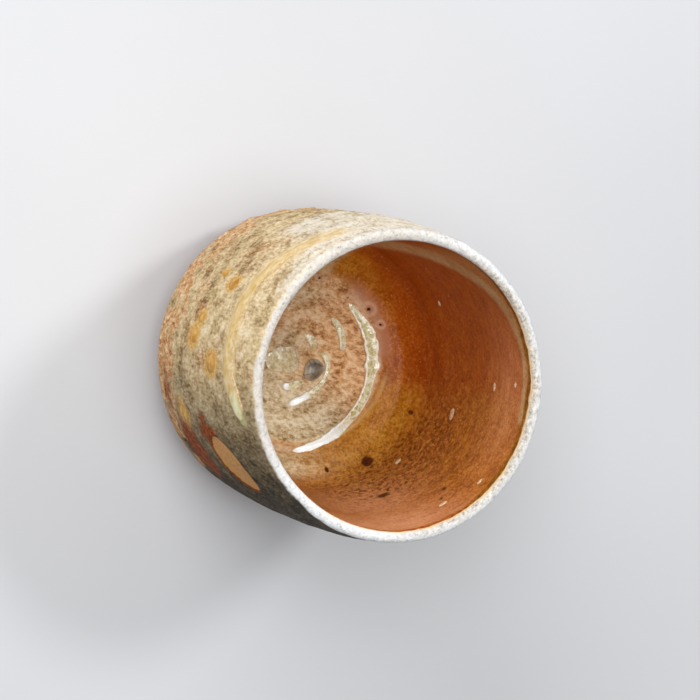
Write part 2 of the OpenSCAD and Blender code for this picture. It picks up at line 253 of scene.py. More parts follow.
# Azimuth, height, half width and half height; iron spots and lists of patches or streaks add a strength
DROPS = [(-109, 54.9, 1.75, 2.55), (-94, 44.9, 1.6, 2.3), (-87, 42.7, 2.3, 3.3), (-79.5, 58.2, 2.4, 3.5),
         (-56, 32.6, 2.3, 3.3), (-112, 45.5, 1.1, 1.6)]
GOLD_PATCHES = [(-99, 48, 3.0, 3.0, 0.4), (-56.5, 32.6, 6.0, 3.4, 0.9)]
RUST_STREAKS = [(-51.5, 50, 3.6, 8.0, 1.0), (-57, 48, 3.0, 4.0, 0.6)]
RUST_STAIN, RUST_SLANT = (-40, 31, 9, 8), 15
RUST_CLOUD = (-62, 21, 14, 5)
SHADE_PATCH = (-68, 34, 5, 8)
IRON_SPOTS = [(46.9, 24.5, 1.9, 1.6, 1.0), (35.9, 46.4, 2.3, 1.5, 0.9), (61.4, 48.7, 1.3, 1.4, 0.42),
              (78.7, 24.7, 0.8, 1.3, 0.7), (51.9, 63.8, 1.2, 1.4, 0.6), (47.5, 67.8, 0.8, 1.0, 0.6),
              (27.1, 22.0, 0.7, 0.9, 0.8), (129.9, 43.8, 1.5, 1.5, 0.48), (78.9, 54.3, 0.8, 0.9, 0.4),
              (66, 37, 0.6, 0.9, 0.5), (-150, 48, 1.4, 0.8, 0.7), (-35, 54, 1.5, 0.8, 0.7),
              (-80, 38, 1.1, 0.8, 0.8)]

# Patches of the liner, with their half widths measured at this radius
INSIDE_R = 36.0
# Salmon patches: partly the glaze's own colour, partly painted sheen where the light falls on the upper
# wall.
SALMON_AND_SHEEN_PATCHES = [(24, 75, 16, 9, 0.9), (100, 72, 22, 11, 0.45), (27, 50, 13, 17, 0.85)]
MOTTLED_PATCHES = [(62, 40, 24, 20, 1.0), (35, 34, 18, 12, 0.75)]
GOLDEN_PATCHES = [(58, 21, 36, 7, 1.0), (95, 60, 6, 16, 0.7), (36, 33, 12, 8, 0.5)]
GOLDEN_END = (172, 19.5, 18, 3.5)
DEEP_PATCHES = [(104, 40, 15, 13, 0.6), (110, 25.5, 24.4, 4.5, 1.1)]
TAN_PATCH = (2, 20.5, 16.7, 3.2)
OLIVE_BAND = [(185, 20), (176, 32), (169, 48), (159, 63), (148, 73), (134, 78.5), (112, 80.5), (90, 81)]

# Chips are azimuth, height and half size, at a radius of their own
CHIP_R = 35.0
CHIPS = [(84, 43.5, 1.4), (55, 33.8, 1.0), (45, 71.8, 1.05), (100, 62.4, 0.85), (61, 76.6, 0.85),
         (103, 74.6, 0.65), (133, 38.0, 0.7)]

# Pale patches of the well, painted light where the rim shades its floor, are x, y, half lengths along x and
# y, and strength
PAINTED_LIGHT_PATCHES = [(-17, -9, 8, 11, 0.8), (-2, -5, 7, 8, 0.9)]

# Pinholes are azimuth, radius and size, all of them below a height; glass is azimuth, radius and width
PIN_HOLES = [(139.3, 22.8, 2.1), (156.2, 20.5, 0.8), (126.3, 24.0, 1.3), (-175.6, 21.6, 1.4)]
PIN_HOLES_TOP = 40
GLASS_WAYS = [
    [(10, 25.6, 0.9), (23, 24.5, 2.3), (35, 23.7, 2.9), (48, 22.7, 2.9), (59, 22.2, 2.6), (69, 21.9, 2.6),
     (79, 21.5, 3.4), (90, 21.0, 3.9), (105, 20.6, 4.2), (120, 20.4, 4.2), (131, 19.9, 3.4),
     (141, 19.5, 2.2), (152, 19.7, 1.0)],
    [(111, 12.2, 1.0), (121, 12.8, 2.1), (134, 13.35, 2.1), (148, 13.6, 1.7), (155, 13.6, 0.8)],
    [(2, 13.4, 1.3), (12, 12.2, 2.1), (28, 10.95, 1.9), (50, 10.15, 1.6), (63, 9.7, 1.3), (81, 9.05, 1.4),
     (97, 8.0, 1.7), (114, 6.3, 1.3)],
    [(-17, 9.3, 1.5), (-5, 8.85, 2.3), (11, 7.4, 2.1), (25, 6.7, 0.8)],
    [(183, 6.0, 1.0), (165, 5.6, 2.5), (146, 5.0, 2.5), (131, 4.0, 1.0)],
]


def scar_gap(azimuth, z):
    """Distance in millimetres to the outline of the wad scar, less than 0 inside it."""
    along, across = rotated(*way_to(azimuth, z, SCAR_AZIMUTH, SCAR_H, BELLY_R), SCAR_SLANT)
    along = along / (SCAR_L / 2)
    share = np.hypot(along, across / (SCAR_W / 2))
    return (share - 1) * SCAR_W / 2 * (1 + 0.4 * np.abs(along) / np.maximum(share, 0.1))


def outside_masks(p, azimuth, z):
    """Soft masks of the coat's colours at places p of the outside and the lip."""
    warp = 5 * noise(p, 16, 11)
    fine = noise(p, 5, 12, 3, (1, 1, 0.8))
    zz = z + 1.6 * noise(p, 9, 13)
    cream = sector(azimuth, -176, 66, 22, 2 * warp) * smooth(34, 62, zz + warp)
    cream = np.maximum(cream, smooth(76, 82, zz) * (0.1 + 0.9 * sector(azimuth, -172, 76, 40)))
    gap, along = line_gap(azimuth, z, LONG_RUN)
    gap = gap + 1.2 * noise(p, 4, 14)
    reach = 5.6 - 2.4 * smooth(0.7, 0.95, along)
    round_drops = [(a, h, 1.7 * half_w, 1.55 * half_h, 1.0) for a, h, half_w, half_h in DROPS]
    gold = [*spots(azimuth, z + 0.8 * fine, round_drops), *spots(azimuth, z, GOLD_PATCHES)]
    stain = 1.2 * spot(azimuth, z + 2 * fine, RUST_STAIN, slant=RUST_SLANT)
    cloud = 0.5 * spot(azimuth, z + 2 * fine, RUST_CLOUD)
    foot = smooth(15, 7, zz + 0.6 * warp) * (0.35 + 0.65 * sector(azimuth, 5, 130, 60))
    orange = smooth(44, 18, z + 1.2 * warp) * sector(azimuth, -115, 165, 70)
    far = sector(azimuth, 150, 52, 12) * smooth(66, 46, z + warp)
    toasted = np.maximum(0.6 * orange, 0.9 * far) + 0.7 * fine
    # The dark side round azimuth 0 is partly the coat's own darker ash and partly painted shade.
    dark = sector(azimuth, 2, 88, 36, 1.2 * warp) * smooth(4, 20, z)
    return {
        "cream": cream, "along": along, "scar": scar_gap(azimuth, z),
        "run": smooth(reach, 0.4 * reach, gap) * smooth(0, 0.2, along),
        "halo_and_sheen": smooth(15, 4, gap) * smooth(0.9, 0.45, along),
        "gold": np.max(gold, axis=0),
        "rust": np.max([*spots(azimuth, z + fine, RUST_STREAKS), stain, cloud, foot], axis=0),
        "orange": np.clip(toasted, 0, 1) * np.clip(orange + far, 0, 1),
        "dark": np.maximum(dark, 0.55 * spot(azimuth, z + fine, SHADE_PATCH)),
        # Painted shade on the underside of the coat.
        "under": smooth(-42, -22, azimuth + 2 * fine) * smooth(75, 40, azimuth),
    }


def outside_relief(p, azimuth):
    """Lumps of the ash coat in millimetres, mostly inward."""
    rough = noise(p, 1.7, 21, 2)
    lumps = noise(p, 5.5, 22, 3)
    marks = noise(p, 26, 23, 3, (0.6, 0.6, 3.2))
    crumbs = np.clip(noise(p, 2.6, 24, 2) - 0.25, 0, 1) * sector(azimuth, -165, 100, 20) * 0.5
    return 0.05 * rough + 0.10 * lumps + 0.13 * marks + crumbs - 0.12


def inside_masks(p, azimuth, z, r):
    """Soft masks of the liner's colours at places p of the inside and the lip; some of them paint sheen,
    highlights, light and shade.
    """
    x, y = p[..., 0], p[..., 1]
    streak = noise(p, 9, 31, 3, (0.5, 0.5, 2.4))
    warp = noise(p, 18, 32, 3)
    well = smooth(24.8, 22.4, r + 0.6 * warp + 0.6 * streak)
    # Paler floor towards +x and -y; the patches add painted light where the rim shades the floor.
    light = smooth(-3, 9, 0.85 * x - 0.45 * y + 3 * warp)
    for at_x, at_y, half_x, half_y, strength in PAINTED_LIGHT_PATCHES:
        light = np.maximum(light, strength * bell(x, at_x, half_x) * bell(y, at_y, half_y))
    turn = np.radians(azimuth)
    arcs = np.stack([r + SPIRAL_W * azimuth / 360, 6 * np.cos(turn), 6 * np.sin(turn)], axis=-1)
    # The salmon upper wall is partly the glaze's own colour and partly painted sheen where the light falls.
    salmon_and_sheen = smooth(50, 74, z + 4 * warp) * sector(azimuth, 5, 60, 20)
    band_azimuth, band_z = np.array(OLIVE_BAND[::-1]).T
    edge_z = np.interp(azimuth, band_azimuth, band_z)
    gap, along = line_gap(azimuth, z + 1.5 * streak, OLIVE_BAND, INSIDE_R)
    olive = smooth(7.0 - 4 * along, 2.4 - 1.4 * along, gap) * smooth(0.85, 0.6, along)
    golden = spots(azimuth, z, GOLDEN_PATCHES, INSIDE_R).sum(axis=0) * smooth(100, 84, azimuth)
    deep = sector(azimuth, 150, 74, 30) * smooth(17.5, 23, z + 2 * streak)
    fleck = 0.35 * noise(p, 1.3, 34)
    iron = [spot(azimuth, z, s, INSIDE_R) * (1.3 * s[4] + fleck) for s in IRON_SPOTS]
    pin, ring = pin_masks(x, y, z)
    return {
        "well": well, "light": light * well, "pin": pin, "ring": ring,
        "swirl": 0.7 * noise(arcs, 2.3, 35, 3) - 0.35 * spiral(r, azimuth) / SPIRAL_DEPTH,
        # Painted sheen: a broad reflection on the glaze beside the big glass arc.
        "halo_and_sheen": bell(r, 23.8, 2.0) * window(azimuth, 94, 110, 152, 168),
        # Painted highlight: a glint beside the pinholes.
        "pinhole_glint": bell(r, 21.7, 1.3) * window(azimuth, 138, 146, 152, 162),
        "gilt": bell(r, 24.9 + 0.3 * streak, 0.35) * window(azimuth, 34, 44, 88, 100),
        # Painted shade: a darker red-brown band low on the wall.
        "painted_shade_band": bell(z, 24, 5) * window(azimuth, 82, 100, 150, 174),
        "tan": spot(azimuth, z, TAN_PATCH, INSIDE_R) * smooth(20, 23, r),
        "salmon_and_sheen": np.max([salmon_and_sheen, *spots(azimuth, z, SALMON_AND_SHEEN_PATCHES, INSIDE_R)], axis=0),
        "khaki": smooth(-2, 3, z - edge_z + 2 * streak) * window(azimuth, 90, 118, 166, 178),
        "olive": np.maximum(olive, 0.7 * smooth(1.8, 0.5, gap)),
        "grain": np.clip(spots(azimuth, z, MOTTLED_PATCHES, INSIDE_R).sum(axis=0), 0, 1),
        "golden": np.clip(golden + 0.9 * spot(azimuth, z, GOLDEN_END, INSIDE_R), 0, 1),
        "deep": np.clip(deep + spots(azimuth, z, DEEP_PATCHES, INSIDE_R).sum(axis=0), 0, 1),
        "iron": np.maximum(0, np.max(iron, axis=0)),
    }


def pin_masks(x, y, z):
    """Masks of the pinholes of the well and of the rings round them."""
    pin, ring = [], []
    for azimuth, r, size in PIN_HOLES:
        at = math.radians(azimuth)
        gap = np.where(z > PIN_HOLES_TOP, np.inf, np.hypot(x - r * math.cos(at), y - r * math.sin(at)))
        pin.append(smooth(0.34 * size, 0.14 * size, gap))
        ring.append(bell(gap, 0.8 * size, 0.3 * size))
    return np.max(pin, axis=0), np.max(ring, axis=0)


def lip_masks(p, azimuth, way):
    """White crust, amber edge and liner over the lip, by the way over it in millimetres from its outside."""
    wander = 0.35 * noise(p, 5, 51) + 0.25 * noise(p, 1.8, 52)
    white = smooth(-0.4, 0.6, way + 0.9 - 2.0 * sector(azimuth, -78, 88, 45) + 1.4 * wander)
    end = 4.8 - 0.35 * sector(azimuth, 15, 60, 20)
    way = way + wander
    liner = smooth(end, end + 0.3, way)
    wide = 2.6 + 0.8 * noise(p, 6, 53)
    amber = smooth(end - 0.15, end + 0.15, way) * smooth(wide, 0.55 * wide, way - end)
    return {
        "crust": white * (1 - liner), "liner": liner, "amber": amber * sector(azimuth, 65, 130, 85),
        "worn": smooth(1.6, 3.2, way) * sector(azimuth, 95, 95, 50),
        # The greyer crust on the left side is painted shade that tones down the key light there.
        "shaded_crust": sector(azimuth, -112, 85, 45), "low": sector(azimuth, 8, 52, 26),
        "edge": smooth(end - 1.0, end - 0.35, way) * (1 - liner) * sector(azimuth, 55, 100, 70),
    }


def inside_relief(p, z, masks):
    """Throwing marks and pinholes of the liner in millimetres along its normal."""
    marks = noise(p, 12, 41, 2, (0.25, 0.25, 1.6))
    lumps = noise(p, 4, 42, 2)
    marks = marks * (1 - 0.6 * masks["well"]) * (1 - 0.6 * smooth(34, 26, z))
    return 0.10 * marks + 0.035 * lumps - 0.05 - 0.45 * masks["pin"] + 0.22 * masks["ring"]


# Meshes

def mesh_piece(name, points, faces, uv, material, node, masks, sharp=None):
    """A piece of the cup from points in millimetres: it replaces a solid, which it hides, and goes under the
    root body.
    """
    mesh = bpy.data.meshes.new(name)
    mesh.from_pydata((np.asarray(points) * MM).tolist(), [], faces)
    layer = mesh.uv_layers.new(name="OFBake")
    layer.data.foreach_set("uv", np.asarray(uv, np.float32).ravel())
    for key, values in masks.items():
        attribute = mesh.attributes.new(key, "FLOAT", "POINT")
        attribute.data.foreach_set("value", np.asarray(values, np.float32).ravel())
    mesh.polygons.foreach_set("use_smooth", np.ones(len(mesh.polygons), bool))
    if sharp is not None:
        ends = np.empty(2 * len(mesh.edges), int)
        mesh.edges.foreach_get("vertices", ends)
        ends = ends.reshape(-1, 2)
        on_ring = (sharp[ends[:, 0]] > 0) & (sharp[ends[:, 0]] == sharp[ends[:, 1]])
        attribute = mesh.attributes.new("sharp_edge", "BOOLEAN", "EDGE")
        attribute.data.foreach_set("value", on_ring)
    mesh.materials.append(material)
    mesh.update()
    piece = bpy.data.objects.new(name, mesh)
    bpy.context.scene.collection.objects.link(piece)
    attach(piece, "root")
    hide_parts(node)


def spread(lengths, low, high):
    """Heights in the UV map for rows, in step with the way between them."""
    way = np.concatenate([[0], np.cumsum(lengths)])
    return low + (high - low) * way / way[-1]


def band(rows, cols, v, closed=False):
    """Faces between rows of rings, and their UV places; v is the height of each row in the UV map."""
    faces, uv = [], []
    for i in range(rows if closed else rows - 1):
        for j in range(cols):
            k, m = (i + 1) % rows, (j + 1) % cols
            faces.append((i * cols + j, i * cols + m, k * cols + m, k * cols + j))
            for c, w in ((j, i), (j + 1, i), (j + 1, i + 1), (j, i + 1)):
                uv.append((c / cols, v[w]))
    return faces, uv


def fan(cols, first, tip, ring_v, tip_v, turn=1):
    """Faces from a ring to its tip, and their UV places; with turn -1 they look the other way."""
    faces, uv = [], []
    for j in range(cols):
        a, b = (j, j + 1)[::turn]
        faces.append((first + a % cols, first + b % cols, tip))
        uv += [(a / cols, ring_v), (b / cols, ring_v), ((j + 0.5) / cols, tip_v)]
    return faces, uv


def tube(rows, cols, first, low, width):
    """Faces of a tube of rings with both its ends, and their UV places from height low over a width."""
    faces, uv = [], []
    for i in range(rows - 1):
        for j in range(cols):
            near, far, m = first + i * cols, first + (i + 1) * cols, (j + 1) % cols
            faces.append((near + j, far + j, far + m, near + m))
            for c, w in ((j, i), (j, i + 1), (j + 1, i + 1), (j + 1, i)):
                uv.append((w / rows * 0.97 + 0.01, low + c / cols * width))
    faces.append(tuple(first + j for j in range(cols)))
    faces.append(tuple(first + (rows - 1) * cols + j for j in range(cols))[::-1])
    for end in (0.985, 0.995):
        uv += [(end, low + width * j / cols) for j in range(cols)]
    return faces, uv


def ring_marks(rows, cols, sharp_rows):
    """A number for every point, the same along each row with sharp edges and 0 in all other rows."""
    marks = np.zeros((rows, cols), int)
    for n, row in enumerate(sharp_rows):
        marks[row] = n + 1
    return marks.ravel()


def torus_piece(name, outer, inner, material, node, masks):
    """A band round the cup: rows of the open side, then rows of the clay's side, closed into a ring."""
    rows, cols = len(outer) + len(inner), outer.shape[1]
    points = np.concatenate([outer, inner]).reshape(-1, 3)
    steps = np.linalg.norm(np.diff(outer[:, 0], axis=0), axis=1)
    v = np.concatenate([spread(steps, 0.02, 0.94), spread(np.ones(len(inner) - 1), 0.945, 0.985), [0.99]])
    faces, uv = band(rows, cols, v, True)
    full = {key: np.concatenate([m, np.repeat(m[-1:], len(inner), 0)]) for key, m in masks.items()}
    marks = ring_marks(rows, cols, (0, len(outer) - 1))
    mesh_piece(name, points, faces, uv, material, node, full, marks)


def core_piece(name, grid, tips, material, node, masks, sharp_rows=()):
    """A body whose section starts and ends on the axis, at the two tips."""
    rows, cols = grid.shape[:2]
    count = rows * cols
    steps = np.linalg.norm(np.diff(grid[:, 0], axis=0), axis=1)
    v = spread(steps, 0.005, 0.995)
    parts = [fan(cols, 0, count, v[0], 0.0, -1), band(rows, cols, v),
             fan(cols, count - cols, count + 1, v[-1], 1.0)]
    faces = [face for part in parts for face in part[0]]
    uv = [at for part in parts for at in part[1]]
    points = np.concatenate([grid.reshape(-1, 3), tips])
    full = {key: np.concatenate([m.ravel(), [m[0].mean(), m[-1].mean()]]) for key, m in masks.items()}
    marks = np.concatenate([ring_marks(rows, cols, sharp_rows), [0, 0]])
    mesh_piece(name, points, faces, uv, material, node, full, marks)


def strips_piece(name, strips, material, node):
    """One piece of several tubes; each is a grid of places with its masks."""
    points, faces, uv, masks = [], [], [], {}
    first = 0
    for n, (grid, strip_masks) in enumerate(strips):
        rows, cols = grid.shape[:2]
        strip_faces, strip_uv = tube(rows, cols, first, n / len(strips), 0.94 / len(strips))
        points.append(grid.reshape(-1, 3))
        faces += strip_faces
        uv += strip_uv
        for key, m in strip_masks.items():
            masks.setdefault(key, []).append(np.broadcast_to(m, (rows, cols)).ravel())
        first += rows * cols
    masks = {key: np.concatenate(m) for key, m in masks.items()}
    mesh_piece(name, np.concatenate(points), faces, uv, material, node, masks)


def turned(section, raise_by, azimuths, spiral_share=None):
    """Rows of places: the section raised along its normals and turned round the cup."""
    n = normals(section)
    r = (section[:, 0] + raise_by * n[:, 0])[:, None]
    z = (section[:, 1] + raise_by * n[:, 1])[:, None]
    share = 0.0 if spiral_share is None else spiral_share[:, None]
    return place(r, z, azimuths[None, :], share)


def moved_out(grid, section, azimuths, relief):
    """The grid with its relief added along the section's normals."""
    n = normals(section)
    a = np.radians(azimuths)[None, :]
    way = np.stack([n[:, :1] * np.cos(a), n[:, :1] * np.sin(a), n[:, 1:] + 0 * a], axis=-1)
    return grid + relief[..., None] * way


# Materials

def linear(rgb):
    """Red, green and blue from 0 to 255 as the render's linear colour."""
    out = []
    for c in rgb:
        c = c / 255
        out.append(c / 12.92 if c <= 0.04045 else ((c + 0.055) / 1.055) ** 2.4)
    return (*out, 1.0)


class Looks:
    """A material that is put together node by node; most methods give back a socket."""

    def __init__(self, name):
        self.material = bpy.data.materials.new(name)
        self.material.use_nodes = True
        self.tree = self.material.node_tree
        self.tree.nodes.clear()
        self.shader = self.node("BsdfPrincipled", {})
        self.node("OutputMaterial", {0: self.shader.outputs[0]})
        self.coords = self.node("TexCoord", {}).outputs["Object"]

    def node(self, kind, inputs, **settings):
        """A new node of a kind with its settings, fed with inputs."""
        node = self.tree.nodes.new("ShaderNode" + kind)
        for name, value in settings.items():
            setattr(node, name, value)
        self.feed(node, inputs)
        return node

    def feed(self, node, inputs):
        """Sockets and values into a node's inputs, by name or number."""
        for key, value in inputs.items():
            if isinstance(value, bpy.types.NodeSocket):
                self.tree.links.new(value, node.inputs[key])
            elif value is not None:
                node.inputs[key].default_value = value

    def mask(self, name):
        return self.node("Attribute", {}, attribute_name=name).outputs["Fac"]

    def scaled(self, stretch):
        return self.node("Mapping", {"Scale": stretch, "Vector": self.coords}).outputs[0]

    def noise(self, size, detail=4.0, roughness=0.6, stretch=(1, 1, 1), distortion=0.0):
        """Noise about size millimetres from lump to lump, from 0 to 1."""
        return self.node("TexNoise", {
            "Scale": 1 / (size * MM), "Detail": detail, "Roughness": roughness, "Distortion": distortion,
            "Vector": self.scaled(stretch)}).outputs["Fac"]

    def cells(self, size, stretch=(1, 1, 1), feature="F1", warp=None):
        """Distance in cells about size millimetres wide; the colours of warp push them about."""
        vector = self.scaled(stretch)
        if warp is not None:
            push = (size * MM * 0.6,) * 3
            pushed = self.node("VectorMath", {0: warp, 1: push, 2: vector}, operation="MULTIPLY_ADD")
            vector = pushed.outputs[0]
        inputs = {"Scale": 1 / (size * MM), "Vector": vector}
        return self.node("TexVoronoi", inputs, feature=feature).outputs["Distance"]

    def math(self, operation, *values):
        return self.node("Math", dict(enumerate(values)), operation=operation).outputs[0]

    def times(self, a, factor):
        return self.math("MULTIPLY", a, factor)

    def add(self, a, factor, b):
        """a times factor, plus b."""
        return self.math("MULTIPLY_ADD", a, factor, b)

    def step(self, value, low, high, to_low=0.0, to_high=1.0):
        """Value as to_low at low and to_high at high, smooth between."""
        inputs = {"Value": value, "From Min": low, "From Max": high, "To Min": to_low, "To Max": to_high}
        return self.node("MapRange", inputs, interpolation_type="SMOOTHSTEP").outputs[0]

    def ramp(self, value, *stops):
        """Colour by value; each stop is a place from 0 to 1 and a colour from 0 to 255."""
        node = self.node("ValToRGB", {0: value})
        elements = node.color_ramp.elements
        while len(elements) < len(stops):
            elements.new(0.5)
        for element, (at, rgb) in zip(elements, stops):
            element.position = at
            element.color = linear(rgb)
        return node.outputs["Color"]

    def mix(self, share, base, color):
        """Color over base by a share; color is a socket or red, green and blue from 0 to 255."""
        top = linear(color) if isinstance(color, tuple) else color
        return self.node("Mix", {"Factor": share, 6: base, 7: top}, data_type="RGBA").outputs[2]

    def over(self, base, name, color, share=1.0):
        """Color over base where the mask of that name is, up to a share."""
        mask = self.mask(name)
        return self.mix(mask if share == 1.0 else self.times(mask, share), base, color)

    def ragged(self, base, name, breaks, low, high, color, strength=1.0, most=1.0):
        """Color over base where a mask and the noise that breaks its edge add up to more than low."""
        share = self.add(self.mask(name), strength, breaks)
        return self.mix(self.step(share, low, high, 0, most), base, color)

    def bump(self, height, depth):
        """Relief of the shading, depth millimetres from height 0 to 1."""
        return self.node("Bump", {"Strength": 1.0, "Distance": depth * MM, "Height": height}).outputs[0]

    def finish(self, color, roughness, normal=None, specular=0.5, coat=0.0, coat_roughness=0.1):
        """The finished material with its colour, gloss and relief, and a clear coat where coat isn't 0."""
        self.feed(self.shader, {
            "Base Color": color, "Roughness": roughness, "Normal": normal, "Specular IOR Level": specular})
        if coat != 0.0:
            self.feed(self.shader, {
                "Coat Weight": coat, "Coat Roughness": coat_roughness, "Coat Normal": normal})
        return self.material


def ash_color(m):
    """Colour and grain of the speckled ash with cream, yellow runs, rust and a bare scar; painted shade
    darkens its underside, and partly its dark side.
    """
    grain = m.noise(0.75, 4, 0.7, (1, 1, 0.46))
    pebble = m.cells(0.9, (1, 1, 0.46))
    streak = m.noise(3.2, 5, 0.66, (1, 1, 0.6))
    patch = m.noise(10, 4, 0.6, (1, 1, 0.9), 0.3)
    fleck = m.noise(1.6, 3, 0.65, (1, 1, 0.5))
    band = m.noise(7, 4, 0.62, (0.6, 0.6, 1.2))
    tone = m.add(grain, 0.55, m.times(streak, 0.5))
    tone = m.add(band, 0.35, m.math("ADD", tone, -0.155))
    tone = m.add(pebble, -0.12, tone)
    base = m.ramp(tone, (0.34, (128, 104, 68)), (0.43, (172, 147, 104)), (0.52, (202, 178, 136)),
                  (0.61, (218, 199, 162)), (0.74, (234, 221, 196)))
    brown = m.ramp(tone, (0.38, (104, 70, 40)), (0.5, (168, 124, 78)), (0.64, (222, 190, 148)))
    base = m.mix(m.step(patch, 0.5, 0.68, 0, 0.8), base, brown)
    # Dark side: partly the coat's own darker ash, partly painted shade.
    dark = m.ramp(tone, (0.34, (20, 14, 6)), (0.45, (50, 40, 22)), (0.56, (94, 79, 52)),
                  (0.70, (152, 132, 98)))
    base = m.over(base, "dark", dark, 0.9)
    # Painted shade on the underside: the coat goes almost black there.
    base = m.over(base, "under", (22, 17, 9), 0.55)
    orange = m.ramp(m.noise(1.3, 5, 0.75, (1, 1, 0.6)), (0.34, (140, 78, 34)), (0.46, (184, 132, 82)),
                    (0.56, (212, 178, 134)), (0.68, (230, 208, 174)))
    base = m.ragged(base, "orange", m.times(fleck, 0.7), 0.6, 1.0, orange, 0.8)
    halo_and_sheen = m.ramp(tone, (0.36, (176, 150, 110)), (0.5, (226, 204, 164)), (0.64, (242, 230, 204)))
    base = m.over(base, "halo_and_sheen", halo_and_sheen, 0.7)
    gold = m.ramp(grain, (0.35, (186, 130, 50)), (0.55, (208, 162, 84)), (0.7, (224, 192, 124)))
    base = m.ragged(base, "gold", m.times(streak, 0.5), 0.5, 0.95, gold, most=0.95)
    cream = m.ramp(tone, (0.36, (172, 155, 128)), (0.46, (208, 195, 172)), (0.58, (224, 215, 200)))
    cream = m.mix(m.step(m.noise(2.2, 4, 0.7, (1, 1, 1.6)), 0.6, 0.74, 0, 0.5), cream, (210, 168, 120))
    base = m.ragged(base, "cream", m.times(streak, 0.5), 0.45, 1.0, cream)
    run = m.ramp(m.noise(2.4, 3, 0.6, (1, 1, 1.5)), (0.35, (198, 160, 92)), (0.52, (212, 184, 130)),
                 (0.68, (224, 206, 166)))
    green = m.ramp(streak, (0.4, (184, 176, 116)), (0.6, (206, 204, 160)))
    run = m.mix(m.step(m.mask("along"), 0.84, 0.95), run, green)
    base = m.mix(m.step(m.add(grain, 0.3, m.mask("run")), 0.3, 1.0, 0, 0.85), base, run)
    rust = m.ramp(m.noise(1.1, 5, 0.7), (0.34, (76, 24, 0)), (0.48, (124, 50, 4)), (0.6, (162, 84, 16)),
                  (0.72, (196, 134, 62)))
    base = m.ragged(base, "rust", m.add(streak, 0.9, m.times(fleck, 0.8)), 1.08, 1.5, rust)
    bare = m.ramp(m.noise(0.8, 5, 0.7), (0.3, (188, 130, 70)), (0.55, (206, 152, 92)),
                  (0.7, (216, 168, 112)))
    gap = m.add(m.noise(1.4, 3, 0.6), 0.9, m.mask("scar"))
    base = m.mix(m.step(gap, 1.5, 0.7, 0, 0.85), base, (132, 66, 24))
    base = m.mix(m.step(gap, 0.5, 0.3), base, bare)
    return base, grain


def crust_color(m, base):
    """White crust over base by its mask, worn grey and speckled towards the inside, and greyer on the left
    side as painted shade.
    """
    crust = m.ramp(m.noise(0.9, 4, 0.75), (0.3, (160, 160, 160)), (0.42, (206, 207, 207)),
                   (0.6, (226, 227, 227)))
    worn = m.ramp(m.noise(1.0, 5, 0.75), (0.36, (128, 118, 104)), (0.48, (184, 176, 164)),
                  (0.62, (216, 212, 204)))
    crust = m.over(crust, "worn", worn, 0.9)
    # Greyer crust on the left side: painted shade.
    crust_shade_tone = m.ramp(m.noise(0.9, 4, 0.75), (0.3, (142, 136, 127)), (0.42, (190, 184, 175)),
                  (0.6, (208, 203, 195)))
    crust = m.over(crust, "shaded_crust", crust_shade_tone)
    crust = m.over(crust, "edge", (226, 196, 146), 0.75)
    return m.over(base, "crust", crust)


def amber_color(m, base):
    """Amber where the crust has run into the liner glaze."""
    cloud = m.noise(1.4, 3, 0.6)
    amber = m.ramp(cloud, (0.35, (98, 54, 0)), (0.5, (132, 82, 4)), (0.65, (172, 118, 26)))
    orange = m.ramp(cloud, (0.35, (142, 60, 2)), (0.5, (176, 84, 8)), (0.65, (206, 124, 30)))
    amber = m.over(amber, "low", orange)
    return m.over(base, "amber", amber, 0.95)


def ash_looks():
    """Dry wood ash on the outside."""
    m = Looks("ash_coat")
    base, grain = ash_color(m)
    base = crust_color(m, base)
    pits = m.cells(0.55, (1, 1, 1.3))
    height = m.add(grain, 0.7, m.times(m.step(pits, 0.0, 0.5), 0.3))
    wet = m.math("MAXIMUM", m.mask("run"), m.times(m.mask("gold"), 0.7))
    roughness = m.add(wet, -0.35, m.step(grain, 0.3, 0.7, 0.85, 0.6))
    return m.finish(base, roughness, m.bump(height, 0.16), 0.12)


